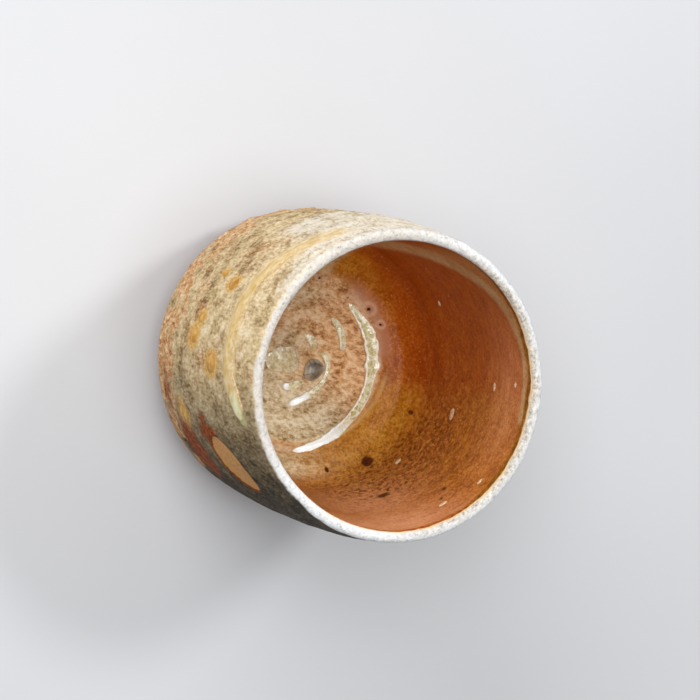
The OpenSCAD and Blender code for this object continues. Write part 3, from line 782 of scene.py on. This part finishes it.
def liner_color(m):
    """Orange-brown glaze with its marks from the well to the lip: its colour, tone, grain and mud, with
    painted sheen, highlights, light and shade in places.
    """
    streak = m.noise(6, 6, 0.62, (1, 1, 2.4), 0.3)
    grain = m.noise(0.9, 5, 0.75, (1, 1, 0.9))
    tone = m.add(streak, 0.5, m.times(grain, 0.5))
    base = m.ramp(tone, (0.38, (138, 68, 6)), (0.48, (164, 88, 12)), (0.56, (184, 108, 22)),
                  (0.68, (204, 140, 52)))
    deep = m.ramp(tone, (0.38, (152, 66, 8)), (0.52, (178, 88, 14)), (0.66, (196, 114, 34)))
    base = m.over(base, "deep", deep)
    gold = m.ramp(tone, (0.38, (160, 96, 14)), (0.52, (190, 128, 34)), (0.66, (210, 160, 66)))
    base = m.over(base, "golden", gold)
    # Painted shade: a darker red-brown band low on the wall.
    base = m.over(base, "painted_shade_band", (146, 60, 8), 0.75)
    # Salmon: partly the glaze's own colour, partly painted sheen.
    salmon_and_sheen = m.ramp(tone, (0.38, (206, 128, 86)), (0.52, (222, 156, 114)), (0.66, (232, 180, 142)))
    base = m.over(base, "salmon_and_sheen", salmon_and_sheen)
    mottle = m.noise(1.4, 4, 0.8)
    brown = m.times(m.step(mottle, 0.48, 0.62), m.mask("grain"))
    base = m.mix(brown, base, (98, 50, 6))
    light = m.times(m.step(mottle, 0.46, 0.36), m.mask("grain"))
    base = m.mix(m.times(light, 0.85), base, (210, 152, 78))
    khaki = m.ramp(grain, (0.38, (170, 122, 70)), (0.5, (200, 149, 92)), (0.62, (218, 174, 120)))
    base = m.over(base, "khaki", khaki, 0.9)
    olive = m.ramp(tone, (0.38, (180, 150, 100)), (0.52, (208, 186, 140)), (0.66, (222, 206, 170)))
    base = m.over(base, "olive", olive)
    sand = m.noise(0.8, 4, 0.8, (1, 1, 0.8))
    speckle = m.times(m.step(sand, 0.5, 0.64), m.step(m.mask("deep"), 0, 1, 0.5, 0.2))
    base = m.mix(speckle, base, (216, 154, 76))
    speckle = m.times(m.step(sand, 0.48, 0.36), m.step(m.mask("deep"), 0, 1, 0.5, 0.3))
    base = m.mix(speckle, base, (110, 52, 8))
    fleck = m.times(m.step(m.noise(1.3, 2, 0.5), 0.7, 0.76), 0.6)
    base = m.mix(m.times(fleck, m.math("SUBTRACT", 1.0, m.mask("well"))), base, (220, 176, 130))
    mud = m.add(m.mask("swirl"), 0.09, m.noise(1.5, 6, 0.8, (1.35, 0.8, 1), 0.2))
    well = m.ramp(mud, (0.35, (130, 76, 30)), (0.44, (198, 144, 86)), (0.53, (228, 188, 136)),
                  (0.66, (242, 222, 184)))
    pale = m.ramp(mud, (0.35, (126, 98, 52)), (0.46, (186, 165, 122)), (0.60, (222, 212, 180)))
    # Pale floor: paler towards +x and -y, with painted light in patches where the rim shades it.
    well = m.over(well, "light", pale)
    base = m.over(base, "well", well)
    # Painted sheen beside the big glass arc.
    base = m.over(base, "halo_and_sheen", (178, 124, 94), 0.8)
    # Painted highlight: a glint beside the pinholes.
    base = m.over(base, "pinhole_glint", (226, 192, 160), 0.7)
    # Pale rings round the pinholes: painted highlight on their raised rims.
    base = m.over(base, "ring", (226, 192, 160), 0.45)
    base = m.over(base, "tan", pale, 0.85)
    base = m.over(base, "gilt", (226, 196, 132), 0.6)
    iron = m.ramp(m.noise(0.6, 4, 0.7), (0.35, (52, 22, 10)), (0.65, (104, 50, 22)))
    base = m.mix(m.step(m.mask("iron"), 0.3, 0.75), base, iron)
    base = m.mix(m.step(m.mask("pin"), 0.3, 0.6), base, (26, 18, 14))
    return base, tone, grain, mud


def crust_looks():
    """Dry white crust over the lip, from the ash coat's edge to the liner's."""
    m = Looks("lip_crust")
    ash, rough_grain = ash_color(m)
    liner = liner_color(m)[0]
    base = amber_color(m, crust_color(m, m.over(ash, "liner", liner)))
    gloss = m.math("MAXIMUM", m.mask("liner"), m.mask("amber"))
    roughness = m.step(gloss, 0.2, 0.8, 0.72, 0.25)
    height = m.times(rough_grain, m.step(gloss, 0.0, 0.8, 1.0, 0.2))
    return m.finish(base, roughness, m.bump(height, 0.2), 0.2)


def liner_looks():
    """Half-glossy liner glaze, wetter in the well."""
    m = Looks("liner_glaze")
    base, tone, grain, mud = liner_color(m)
    base = amber_color(m, crust_color(m, base))
    rough = m.times(mud, m.step(m.mask("well"), 0, 1, 0, 2.4))
    height = m.add(grain, 0.5, rough)
    roughness = m.step(tone, 0.4, 0.65, 0.3, 0.42)
    wet = m.times(m.mask("well"), 0.4)
    return m.finish(base, roughness, m.bump(height, 0.1), 0.12, wet, 0.16)


def glass_looks():
    """Pale green wood-ash glass with white, crackled borders and brown specks, and painted white glints at
    the start of some strips.
    """
    m = Looks("well_glass")
    warp = m.node("TexNoise", {"Scale": 1 / (1.2 * MM), "Vector": m.coords}).outputs["Color"]
    crack = m.cells(1.9, (1, 1, 1), "DISTANCE_TO_EDGE", warp)
    bubble = m.cells(0.8, (1, 1, 1), "F1", warp)
    across = m.add(m.noise(1.6, 4, 0.7), 0.8, m.mask("across"))
    green = m.ramp(m.noise(1.6, 5, 0.7), (0.35, (172, 160, 94)), (0.48, (202, 200, 138)),
                   (0.6, (226, 226, 184)), (0.7, (242, 242, 220)))
    white = m.ramp(m.noise(0.8, 4, 0.7), (0.35, (244, 238, 210)), (0.48, (250, 249, 232)),
                   (0.66, (250, 250, 242)))
    base = m.mix(m.step(across, 0.98, 1.18), green, white)
    crack = m.add(m.noise(1.3, 4, 0.7), 0.3, crack)
    base = m.mix(m.step(crack, 0.27, 0.18, 0, 0.6), base, (248, 248, 232))
    base = m.mix(m.step(bubble, 0.2, 0.1, 0, 0.25), base, (170, 146, 96))
    speck = m.step(m.noise(0.9, 2, 0.5), 0.66, 0.74, 0, 0.85)
    base = m.mix(speck, base, (140, 96, 52))
    mud = m.ramp(m.noise(1.5, 6, 0.8), (0.38, (146, 120, 76)), (0.5, (200, 184, 142)),
                 (0.62, (236, 230, 206)))
    base = m.over(base, "thin", mud, 0.6)
    # Painted glints: white at the start of the strips.
    painted_glint = m.add(m.noise(1.0, 3, 0.6), 0.6, m.mask("painted_glint"))
    base = m.mix(m.step(painted_glint, 0.65, 1.15), base, (242, 253, 250))
    normal = m.bump(m.add(m.step(crack, 0.0, 0.2), 0.5, m.noise(1.1, 3, 0.6)), 0.12)
    return m.finish(base, 0.16, normal, 0.5, 0.6, 0.05)


def bead_looks():
    """Grey glassy bead with a paler side and a thin dark seam."""
    m = Looks("centre_bead")
    cloud = m.noise(2.4, 4, 0.6)
    dark = m.ramp(cloud, (0.35, (96, 92, 80)), (0.5, (128, 122, 106)), (0.66, (164, 158, 140)))
    light = m.ramp(cloud, (0.35, (164, 156, 136)), (0.65, (204, 196, 174)))
    base = m.mix(m.step(m.mask("across"), 0.6, 1.0), dark, light)
    seam = m.cells(4.2, (1, 1, 0.2), "DISTANCE_TO_EDGE")
    base = m.mix(m.step(seam, 0.05, 0.01, 0, 0.55), base, (70, 62, 52))
    return m.finish(base, 0.3, m.bump(cloud, 0.08), 0.4)


def run_looks():
    """Molten ash runs: yellow, fading into the coat at their edges, pale green in the last drop."""
    m = Looks("ash_runs")
    flow = m.noise(2.6, 4, 0.6, (1, 1, 1.4))
    grain = m.noise(0.7, 5, 0.72)
    yellow = m.ramp(flow, (0.34, (196, 156, 80)), (0.5, (210, 180, 120)), (0.66, (222, 202, 158)))
    gold = m.ramp(flow, (0.34, (168, 112, 32)), (0.5, (192, 140, 56)), (0.66, (208, 172, 98)))
    green = m.ramp(flow, (0.34, (212, 204, 142)), (0.6, (230, 228, 190)))
    base = m.over(yellow, "drop", gold)
    base = m.mix(m.step(m.mask("along"), 0.76, 0.9), base, green)
    edge = m.ramp(m.add(grain, 0.7, m.times(flow, 0.3)), (0.36, (140, 114, 76)),
                  (0.48, (192, 164, 120)), (0.6, (222, 202, 166)))
    tan = m.ramp(grain, (0.36, (112, 86, 46)), (0.5, (160, 128, 78)), (0.62, (190, 162, 112)))
    edge = m.over(edge, "drop", tan)
    share = m.add(grain, 0.8, m.mask("across"))
    edge_share = m.times(m.step(share, 0.85, 1.3), m.step(m.mask("drop"), 0, 1, 0.95, 0.25))
    base = m.mix(edge_share, base, edge)
    normal = m.bump(m.add(flow, 0.6, grain), 0.1)
    return m.finish(base, m.step(grain, 0.3, 0.7, 0.6, 0.45), normal, 0.2)


def chip_looks():
    """White feldspar grains that came up through the glaze."""
    m = Looks("feldspar")
    cloud = m.noise(0.8, 4, 0.65)
    base = m.ramp(cloud, (0.35, (184, 144, 100)), (0.5, (214, 186, 146)), (0.66, (230, 212, 182)))
    return m.finish(base, 0.35, m.bump(cloud, 0.06), 0.35)


def clay_looks():
    """Bare stoneware of the foot: toasted orange-brown with grog and a little ash."""
    m = Looks("bare_clay")
    grog = m.noise(0.7, 5, 0.75)
    toast = m.noise(9, 4, 0.6)
    base = m.ramp(grog, (0.34, (138, 88, 54)), (0.5, (184, 128, 84)), (0.66, (212, 168, 124)))
    warm = m.ramp(grog, (0.34, (116, 60, 30)), (0.5, (164, 92, 50)), (0.66, (192, 128, 84)))
    base = m.mix(m.step(toast, 0.42, 0.6), base, warm)
    base = m.mix(m.step(m.noise(1.3, 2, 0.5), 0.68, 0.74, 0, 0.7), base, (232, 212, 182))
    rings = m.cells(0.5)
    normal = m.bump(m.add(m.step(rings, 0, 0.5), 0.3, grog), 0.14)
    return m.finish(base, m.step(grog, 0.3, 0.7, 0.85, 0.65), normal, 0.3)


# Pieces

def azimuth_steps(count):
    """Azimuths of the columns of a grid, in degrees."""
    return np.arange(count) * 360 / count - 180


def chart(grid, azimuths, heights):
    """Azimuth and height of every place of a grid."""
    azimuth = np.broadcast_to(azimuths[None, :], grid.shape[:2])
    z = np.broadcast_to(heights[:, None], grid.shape[:2])
    return azimuth, z


def way_along(section, raise_by, start):
    """Millimetres along the raised section, from place start of the section."""
    raised = section + np.reshape(raise_by, (-1, 1)) * normals(section)
    way = np.concatenate([[0], np.cumsum(np.linalg.norm(np.diff(raised, axis=0), axis=1))])
    return way - way[start]


def spiral_shares(steps):
    """Weight of the throwing spiral along the well's section, 0 at both its ends."""
    return np.sin(np.linspace(0, math.pi, steps))


def evened(values, times):
    """Values smoothed again and again along their first axis, with both ends kept."""
    for _ in range(times):
        values[1:-1] = (values[:-2] + 2 * values[1:-1] + values[2:]) / 4
    return values


def make_ash_coat():
    azimuths = azimuth_steps(OUTSIDE_COLS)
    section = joined(hip_section(22, 0.5), wall_section(HIP_H, CRUST_Z, 100))
    height = section[:, 1]
    growth = (ASH_T - ASH_EDGE_T) * smooth(THIN_ASH_H, HIP_H, height)
    t = np.where(height < HIP_H, ASH_EDGE_T + growth, ASH_T)
    outer = turned(section, t, azimuths)
    azimuth, z = chart(outer, azimuths, height)
    masks = outside_masks(outer, azimuth, z)
    masks.update(lip_masks(outer, azimuth, z - LIP_Z))
    relief = outside_relief(outer, azimuth) * smooth(height[0], height[0] + 1, z)
    scar = smooth(0.35, -0.1, masks["scar"])
    relief = relief * (1 - scar) - (ASH_T - SCAR_FILM) * scar + RUN_SWELL * masks["run"]
    outer = moved_out(outer, section, azimuths, relief)
    inner = turned(section[::-12], 0.0, azimuths)
    torus_piece("ash_coat_skin", outer, inner, ash_looks(), "ash_coat", masks)


def make_lip_crust():
    azimuths = azimuth_steps(OUTSIDE_COLS)
    wall = wall_section(CRUST_Z, LIP_Z, 12)
    section = joined(wall, lip_section(32, 0, LIP_SHARE))
    count = len(section)
    t = np.full(count, CRUST_T)
    t[:6] = np.linspace(ASH_T, CRUST_T, 6)
    outer = turned(section, t, azimuths)
    azimuth, z = chart(outer, azimuths, section[:, 1])
    way = np.broadcast_to(way_along(section, t, len(wall) - 1)[:, None], z.shape)
    masks = outside_masks(outer, azimuth, z)
    masks.update(inside_masks(outer, azimuth, z, INSIDE_R + 0 * z))
    masks.update(lip_masks(outer, azimuth, way))
    knobs = 0.16 * noise(outer, 3.2, 54, 3) + 0.05 * noise(outer, 1.1, 55, 2) - 0.05
    knobs = knobs * (1 - masks["liner"]) - 0.08 * masks["liner"]
    top = smooth(-2, 1, way)
    relief = outside_relief(outer, azimuth) * (1 - top) + knobs * top
    relief = relief * smooth(count - 1, count - 5, np.arange(count))[:, None]
    outer = moved_out(outer, section, azimuths, relief)
    inner = turned(section[::-6], 0.0, azimuths)
    torus_piece("lip_crust_skin", outer, inner, crust_looks(), "lip_crust", masks)


def make_liner():
    azimuths = azimuth_steps(INSIDE_COLS)
    wall = joined(lip_section(6, LIP_SHARE, 1), inside_section(LIP_Z, WELL_Z, 92))
    well = well_section(70)
    button = np.c_[np.linspace(BUTTON_R, AXIS_R, 8), np.full(8, FLOOR_Z)]
    section = joined(wall, well, button)
    first_well = len(wall) - 1
    share = np.concatenate([np.zeros(first_well), spiral_shares(len(well)), np.zeros(len(button) - 1)])
    outer = turned(section, np.full(len(section), LINER_T), azimuths, share)
    azimuth, z = chart(outer, azimuths, section[:, 1])
    r = np.broadcast_to(section[:, :1], z.shape)
    masks = inside_masks(outer, azimuth, z, r)
    way = way_along(section, LINER_T, 0) + LIP_SHARE * math.pi * (LIP_T / 2 + CRUST_T)
    masks.update(lip_masks(outer, azimuth, np.broadcast_to(way[:, None], z.shape)))
    relief = inside_relief(outer, z, masks)
    relief = relief * smooth(0, 4, np.arange(len(section)))[:, None] * smooth(0.2, 3, r)
    outer = moved_out(outer, section, azimuths, relief)
    back_rows = np.r_[len(section) - 1:first_well:-5, first_well:0:-14, 0]
    back = turned(section, 0.0, azimuths, share)[back_rows]
    grid = np.concatenate([back, outer])
    full = {key: np.concatenate([np.repeat(m[:1], len(back), 0), m]) for key, m in masks.items()}
    tips = [(0, 0, FLOOR_Z), (0, 0, FLOOR_Z + LINER_T)]
    sharp_rows = (len(back) - 1, len(back))
    core_piece("liner_skin", grid, tips, liner_looks(), "liner_glaze", full, sharp_rows)


def make_clay():
    """The clay; only its foot shows, so the rows under the coats are few."""
    azimuths = azimuth_steps(CLAY_COLS)
    ring = FOOT_R - FOOT_RING_W
    c = FOOT_CHAMFER
    recess = np.c_[np.linspace(0.4, ring, 18), np.full(18, FOOT_RECESS)]
    foot = np.array([
        [ring, FOOT_RECESS], [ring, 3.4], [ring, 1.8], [ring, c], [ring + c / 3, c / 3], [ring + c, 0],
        [ring + c + 1.6, 0], [FOOT_R - c - 1.6, 0], [FOOT_R - c, 0], [FOOT_R - c / 3, c / 3], [FOOT_R, c],
        [FOOT_R, 2.4], [FOOT_R, 4.2], [FOOT_R, FOOT_H - 0.5]])
    hip = hip_section(34, 0.16)
    hidden = joined(wall_section(HIP_H, CRUST_Z, 12), wall_section(CRUST_Z, LIP_Z, 3), lip_section(12),
                    inside_section(LIP_Z, WELL_Z, 14))
    well = well_section(30)
    button = np.array([[BUTTON_R / 2, FLOOR_Z], [AXIS_R, FLOOR_Z]])
    section = np.concatenate([recess, foot[1:], hip, hidden[1:], well[1:], button])
    count = len(section)
    shares = np.concatenate([np.zeros(count - len(button) - len(well) + 1), spiral_shares(len(well))[1:],
                             np.zeros(len(button))])
    grid = turned(section, 0.0, azimuths, shares)
    in_recess = (np.arange(count) < len(recess) - 2)[:, None] * smooth(0.4, 4, section[:, :1])
    rings = 0.10 * np.sin(section[:, :1] * 3.1) + 0.08 * noise(grid, 5, 61, 3) - 0.08
    grid[..., 2] -= rings * in_recess
    wobble = 0.07 * noise(grid, 6, 62, 3) - 0.05
    bare = (np.arange(count) < len(recess) + len(foot) + 14)[:, None] & (section[:, 1:] > c + 0.2)
    grid = moved_out(grid, section, azimuths, np.where(bare & ~(in_recess > 0), wobble, 0))
    tips = [(0, 0, FOOT_RECESS), (0, 0, FLOOR_Z)]
    core_piece("clay_skin", grid, tips, clay_looks(), "clay_body", {})


def on_floor(x, y, lift):
    """Places on the liner in the well, raised by lift, from their x and y."""
    curve = joined(well_section(60), np.array([[BUTTON_R, FLOOR_Z], [0.0, FLOOR_Z]]))
    n = normals(curve)
    n[-2:] = (0, 1)
    share = np.concatenate([spiral_shares(60), [0]])
    top = curve + LINER_T * n
    r, azimuth = np.hypot(x, y), np.degrees(np.arctan2(y, x))
    z = np.interp(r, top[::-1, 0], top[::-1, 1])
    z = z + np.interp(r, top[::-1, 0], share[::-1]) * spiral(r, azimuth)
    return np.stack([x, y, z + lift], axis=-1)


def on_wall(x, z, lift):
    """Places on the ash coat, raised by lift, from their way round the belly and height."""
    return place(wall_r(z) + ASH_T + lift, z, np.degrees(x / BELLY_R))


def on_liner(x, z, lift):
    """Places on the liner's wall, raised by lift, from their way round it and height."""
    return place(inside_r(z) - LINER_T - lift, z, np.degrees(x / CHIP_R))


def strip_grid(centre, half_widths, steps_across, lift, thickness, put_down, bow=2.2):
    """Over and under side of a strip along a way, as a closed tube; a higher bow flattens its top."""
    way = np.gradient(centre, axis=0)
    way = way / np.linalg.norm(way, axis=1)[:, None]
    across = np.c_[-way[:, 1], way[:, 0]]
    v = np.concatenate([np.linspace(-1, 1, steps_across), np.linspace(1, -1, steps_across)[1:-1]])
    over = np.arange(len(v)) < steps_across
    flat = centre[:, None, :] + across[:, None, :] * (v[None, :] * half_widths[:, None])[..., None]
    profile = np.where(over, np.sqrt(np.clip(1 - np.abs(v) ** bow, 0, 1)), 0)
    height = thickness[:, None] * profile[None, :]
    return put_down(flat[..., 0], flat[..., 1], lift + height), np.broadcast_to(np.abs(v), height.shape)


def glass_strip(way, steps, seed, painted_glint):
    """A strip of glass along a way through places given as azimuth, radius and width."""
    places = np.array(way, float)
    t = np.linspace(0, 1, steps)
    at = np.linspace(0, 1, len(way))
    azimuth, r, width = (np.interp(t, at, places[:, n]) for n in range(3))
    r = evened(r, steps // 2)
    width = evened(width, steps // 2)
    centre = np.c_[r * np.cos(np.radians(azimuth)), r * np.sin(np.radians(azimuth))]
    p = np.c_[centre, np.zeros(steps)]
    ends = np.clip(np.minimum(t, 1 - t) * steps / 5, 0.02, 1) ** 0.5
    puffs = 1 + GLASS_PUFF * noise(p, 2.6, seed, 3) + 0.5 * GLASS_PUFF * noise(p, 1.1, seed + 9, 2)
    half = 0.5 * width * ends * puffs
    rise = GLASS_T * np.clip(half / (places[:, 2].max() / 2), 0.1, 1)
    grid, across = strip_grid(centre, half, 17, DOME_SEAT, rise, on_floor, 4.5)
    return grid, {"across": across, "painted_glint": painted_glint * smooth(0.44, 0.16, t)[:, None], "thin": 0.0}


def blob(centre, halves, turn, height, seed, put_down, rings=12, corners=48, power=0.5, waver=0.13,
         seat=DOME_SEAT):
    """A low dome with a wavering outline, as a closed tube of rings; a higher power softens its edge."""
    shares = np.concatenate([np.linspace(0.02, 1, rings), np.linspace(1, 0.02, 2 * rings)[1:]])
    top = np.arange(len(shares)) >= rings - 1
    a = np.arange(corners) * TURN / corners
    edge = 1 + waver * noise(np.c_[np.cos(a) * 3, np.sin(a) * 3, 0 * a + seed], 2.0, seed, 3)
    x = shares[:, None] * halves[0] * np.cos(a) * edge
    y = shares[:, None] * halves[1] * np.sin(a) * edge
    x, y = rotated(x, y, -turn)
    lift = np.where(top, height * np.clip(1 - shares ** 2, 0, 1) ** power, 0) + seat
    grid = put_down(centre[0] + x, centre[1] + y, lift[:, None] + 0 * x)
    return grid, np.broadcast_to(shares[:, None], x.shape)


def make_glass():
    steps = (260, 90, 160, 60, 50)
    # How strongly each strip's start is painted white as a glint.
    painted_glint = (0.8, 0.5, 1.0, 1.0, 0.2)
    strips = [glass_strip(way, steps[n], 71 + n, painted_glint[n]) for n, way in enumerate(GLASS_WAYS)]
    pool, across = blob(POOL_AT, (4.8, 4.0), 105, 0.5, 76, on_floor, 12, 64, 0.8, 0.22)
    strips.append((pool, {"across": 0.74 * across, "painted_glint": 0.0, "thin": 1.0}))
    strips_piece("well_glass_lenses", strips, glass_looks(), "well_glass")


def make_bead():
    grid, across = blob(BEAD_AT, (3.1, 2.9), 152, 1.6, 76, on_floor, 16, 64)
    strips = [(grid, {"across": across})]
    strips_piece("centre_bead_lens", strips, bead_looks(), "centre_bead")


def make_runs():
    way = np.array([(math.radians(a) * BELLY_R, z) for a, z in LONG_RUN[2:]])
    t = np.linspace(0, 1, len(way))
    fine = np.linspace(0, 1, 320)
    centre = evened(np.c_[np.interp(fine, t, way[:, 0]), np.interp(fine, t, way[:, 1])], 300)
    p = np.c_[centre, np.zeros(len(fine))]
    half = RUN_HALF_W * np.clip(0.25 + 3 * fine, 0, 1) * (1 + 0.12 * noise(p, 7, 81, 3))
    half = half * (1 - 0.25 * smooth(0.75, 1, fine)) * np.sqrt(np.clip((1 - fine) / 0.06, 0.004, 1))
    thick = RUN_T * np.clip(half / RUN_HALF_W, 0.1, 1)
    grid, across = strip_grid(centre, half, 25, -RUN_SINK, thick + RUN_SINK, on_wall)
    strips = [(grid, {"across": across, "along": fine[:, None], "drop": 0.0})]
    for n, (azimuth, z, half_w, half_h) in enumerate(DROPS):
        at = (math.radians(azimuth) * BELLY_R, z)
        grid, across = blob(at, (half_w, half_h), 0, DROP_T + RUN_SINK, 82 + n, on_wall, power=1.3,
                            seat=-RUN_SINK)
        strips.append((grid, {"across": across, "along": 0.0, "drop": 1.0}))
    strips_piece("ash_run_beads", strips, run_looks(), "ash_runs")


def make_chips():
    strips = []
    for n, (azimuth, z, half) in enumerate(CHIPS):
        at = (math.radians(azimuth) * CHIP_R, z)
        grid, across = blob(at, (1.25 * half, 0.7 * half), 5 * n - 15, CHIP_T, 91 + n, on_liner, 8, 28)
        strips.append((grid[:, ::-1], {"across": across}))
    strips_piece("feldspar_grains", strips, chip_looks(), "feldspar_chips")


# Stage, lights and camera

def make_floor():
    mesh = bpy.data.meshes.new("floor")
    s = 3.0
    mesh.from_pydata([(-s, -s, 0), (s, -s, 0), (s, s, 0), (-s, s, 0)], [], [(0, 1, 2, 3)])
    m = Looks("floor_paper")
    tone = m.ramp(m.noise(300, 3, 0.5), (0.3, (194, 195, 198)), (0.7, (204, 205, 208)))
    mesh.materials.append(m.finish(tone, 0.7, None, 0.2))
    floor = bpy.data.objects.new("floor", mesh)
    bpy.context.scene.collection.objects.link(floor)


def make_light(name, towards, size, power):
    """A round lamp of a size in metres and a power in watts that shines on the middle of the cup."""
    lamp = bpy.data.lights.new(name, "AREA")
    lamp.shape = "DISK"
    lamp.size = size
    lamp.energy = power
    light = bpy.data.objects.new(name, lamp)
    way = Vector(towards).normalized()
    light.location = Vector(LIGHT_AIM) + way * LIGHT_DISTANCE
    light.rotation_euler = way.to_track_quat("Z", "Y").to_euler()
    bpy.context.scene.collection.objects.link(light)


def make_lights():
    make_light("key", (-0.58, -0.68, 0.45), 0.7, 5.2)
    make_light("mouth_light", (-0.10, -0.36, 0.93), 0.5, 3.8)
    make_light("glint_light", (-0.46, 0.30, 0.835), 0.16, 2.8)
    make_light("well_light", (0.04, 0.06, 0.99), 0.22, 1.4)
    world = bpy.data.worlds.new("studio")
    world.use_nodes = True
    sky = world.node_tree.nodes["Background"]
    sky.inputs["Color"].default_value = (1, 1, 1, 1)
    sky.inputs["Strength"].default_value = SKY_LIGHT
    bpy.context.scene.world = world
    bpy.context.scene.view_settings.view_transform = "Standard"


def make_camera():
    data = bpy.data.cameras.new("camera")
    data.sensor_width = SENSOR_W
    data.lens = LENS
    camera = bpy.data.objects.new("camera", data)
    right = Vector(CAMERA_RIGHT).normalized()
    back = Vector(CAMERA_BACK).normalized()
    up = back.cross(right).normalized()
    right = up.cross(back)
    turn = Matrix((right, up, back)).transposed().to_4x4()
    camera.matrix_world = Matrix.Translation(Vector(CAMERA_AT) * MM) @ turn
    bpy.context.scene.collection.objects.link(camera)
    bpy.context.scene.camera = camera


make_camera()
make_lights()
make_floor()
make_clay()
make_ash_coat()
make_lip_crust()
make_liner()
make_glass()
make_bead()
make_runs()
make_chips()
